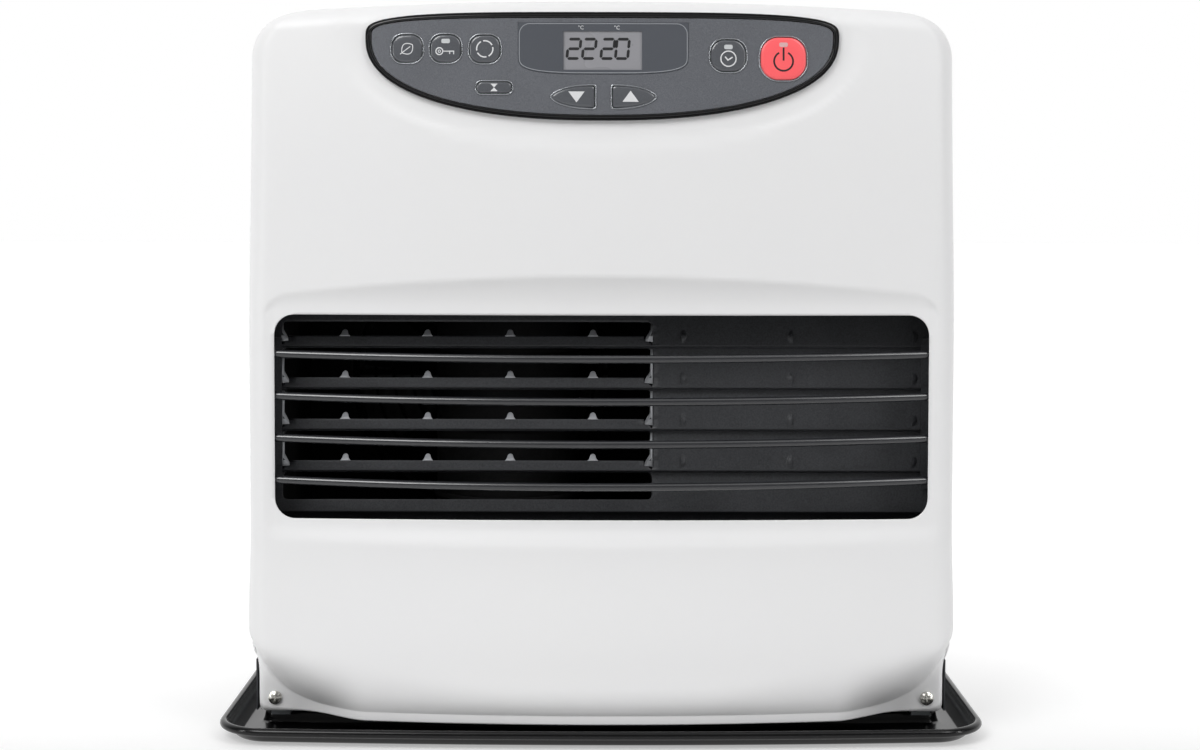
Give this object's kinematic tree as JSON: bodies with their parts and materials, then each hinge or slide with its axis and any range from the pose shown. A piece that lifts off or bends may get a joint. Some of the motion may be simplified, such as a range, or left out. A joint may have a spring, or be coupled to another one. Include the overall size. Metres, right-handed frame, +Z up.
{
  "type": "paraffin heater",
  "caption": "Fan-type paraffin room heater: bow-fronted white steel cover, dark louvre with guard rods, grey control panel, lift-out tank and black drip tray.",
  "frame": {"origin": "bottom centre of the bounding box, on the surface the tray stands on", "axes": "+X to the right seen from the front, the front faces -Y, +Z up"},
  "size_m": [0.455, 0.324, 0.4353],
  "materials": {
    "gloss_black_paint": "gloss stove enamel",
    "white_paint": "satin powder coat",
    "charcoal_paint": "satin powder coat",
    "heat_paint": "matt heat-resistant paint",
    "duct_black": "matt heat-resistant black",
    "net_black": "woven nylon net",
    "rod_paint": "semi-gloss heat-resistant paint",
    "screw_steel": "nickel plated",
    "galvanised_steel": "galvanised sheet",
    "bezel_black": "gloss",
    "fascia_grey": "satin metallic grey",
    "shield_grey": "gloss",
    "lcd_glass": "satin",
    "key_grey": "satin",
    "power_coral": "satin",
    "lamp_clear": "frosted",
    "lamp_pink": "frosted",
    "board_green": "solder resist",
    "black_plastic": "satin",
    "ivory_plastic": "satin",
    "ivory_ceramic": "glazed",
    "brass_plate": "zinc-yellow passivated",
    "copper_tube": "bright drawn",
    "heat_steel": "heat-tinted",
    "cast_alloy": "as cast",
    "motor_steel": "satin"
  },
  "bodies": {
    "heater": {"base_tray": "gloss_black_paint", "front_cover": "white_paint", "cover_screws": "screw_steel", "base_pan": "galvanised_steel", "cabinet_wrap": "charcoal_paint", "rear_panel": "charcoal_paint", "lid_hinge_pin": "screw_steel", "lid_frame": "charcoal_paint", "bay_wall": "galvanised_steel", "louvre_plate": "heat_paint", "outlet_slats": "heat_paint", "guard_rods": "rod_paint", "rod_brackets": "heat_paint", "panel_bezel": "bezel_black", "control_fascia": "fascia_grey", "display_lens": "shield_grey", "lcd_module": "lcd_glass", "control_board": "board_green", "sump_tank": "galvanised_steel", "strainer": "brass_plate", "fuel_pump": "galvanised_steel", "fuel_pipe": "copper_tube", "burner_pot": "heat_steel", "burner_ring": "heat_steel", "igniter": "ivory_ceramic", "flame_rod": "ivory_ceramic", "combustion_chamber": "duct_black", "hot_air_duct": "duct_black", "air_blower": "cast_alloy", "blower_motor": "motor_steel", "fan_shroud": "duct_black", "fan_motor": "duct_black", "fan_guard": "duct_black", "filter_rails": "black_plastic", "power_board": "board_green", "tilt_switch": "ivory_plastic", "room_sensor": "black_plastic", "cord_gland": "black_plastic", "case_screws": "screw_steel"},
    "fuel_tank": {"fuel_tank": "galvanised_steel", "fuel_gauge": "ivory_plastic"},
    "tank_handle": {"tank_handle": "black_plastic"},
    "tank_cap": {"tank_cap": "brass_plate"},
    "tank_lid": {"tank_lid": "charcoal_paint"},
    "fan": {"fan_blade": "duct_black"},
    "blower_wheel": {"blower_wheel": "black_plastic"},
    "filter": {"filter_frame": "black_plastic", "filter_gauze": "net_black"},
    "key_lock": {"key_lock": "key_grey", "lamp_lock": "lamp_clear"},
    "key_timer": {"key_timer": "key_grey", "lamp_timer": "lamp_clear"},
    "key_power": {"key_power": "power_coral", "lamp_power": "lamp_pink"},
    "key_save": {"key_save": "key_grey"},
    "key_clean": {"key_clean": "key_grey"},
    "key_three_hour": {"key_three_hour": "key_grey"},
    "key_down": {"key_down": "key_grey"},
    "key_up": {"key_up": "key_grey"}
  },
  "joints": [
    {"name": "tank_lift", "type": "slide", "parent": "heater", "child": "fuel_tank", "axis": [0, 0, 1], "range_m": [0, 0.03]},
    {"name": "bail_swing", "type": "hinge", "parent": "fuel_tank", "child": "tank_handle", "pos_m": [0.121, 0.0265, 0.3879], "axis": [-1, 0, 0], "range_deg": [0, 90]},
    {"name": "cap_turn", "type": "hinge", "parent": "fuel_tank", "child": "tank_cap", "pos_m": [0.121, 0.0265, 0.0503], "axis": [0, 0, 1], "range_deg": [0, 60]},
    {"name": "lid_open", "type": "hinge", "parent": "heater", "child": "tank_lid", "pos_m": [0.121, 0.112, 0.425], "axis": [-1, 0, 0], "range_deg": [0, 95]},
    {"name": "fan_spin", "type": "hinge", "parent": "heater", "child": "fan", "pos_m": [-0.083, 0.084, 0.195], "axis": [0, 1, 0], "continuous": true},
    {"name": "blower_spin", "type": "hinge", "parent": "heater", "child": "blower_wheel", "pos_m": [-0.15, -0.02, 0.025], "axis": [0, 0, 1], "continuous": true},
    {"name": "filter_slide", "type": "slide", "parent": "heater", "child": "filter", "axis": [0, 0, 1], "range_m": [0, 0.1]},
    {"name": "save_press", "type": "slide", "parent": "heater", "child": "key_save", "axis": [0.0652, 0.9959, -0.0625], "range_m": [0, 0.001], "stiffness_N_per_m": 300, "springref_m": -0.0005},
    {"name": "lock_press", "type": "slide", "parent": "heater", "child": "key_lock", "axis": [0.0523, 0.9967, -0.0625], "range_m": [0, 0.001], "stiffness_N_per_m": 300, "springref_m": -0.0005},
    {"name": "clean_press", "type": "slide", "parent": "heater", "child": "key_clean", "axis": [0.0392, 0.9973, -0.0625], "range_m": [0, 0.001], "stiffness_N_per_m": 300, "springref_m": -0.0005},
    {"name": "three_hour_press", "type": "slide", "parent": "heater", "child": "key_three_hour", "axis": [0.0361, 0.9974, -0.0625], "range_m": [0, 0.001], "stiffness_N_per_m": 300, "springref_m": -0.0005},
    {"name": "down_press", "type": "slide", "parent": "heater", "child": "key_down", "axis": [0.0097, 0.998, -0.0625], "range_m": [0, 0.001], "stiffness_N_per_m": 300, "springref_m": -0.0005},
    {"name": "up_press", "type": "slide", "parent": "heater", "child": "key_up", "axis": [-0.0105, 0.998, -0.0625], "range_m": [0, 0.001], "stiffness_N_per_m": 300, "springref_m": -0.0005},
    {"name": "timer_press", "type": "slide", "parent": "heater", "child": "key_timer", "axis": [-0.042, 0.9972, -0.0625], "range_m": [0, 0.001], "stiffness_N_per_m": 300, "springref_m": -0.0005},
    {"name": "power_press", "type": "slide", "parent": "heater", "child": "key_power", "axis": [-0.0605, 0.9962, -0.0625], "range_m": [0, 0.001], "stiffness_N_per_m": 300, "springref_m": -0.0005}
  ]
}
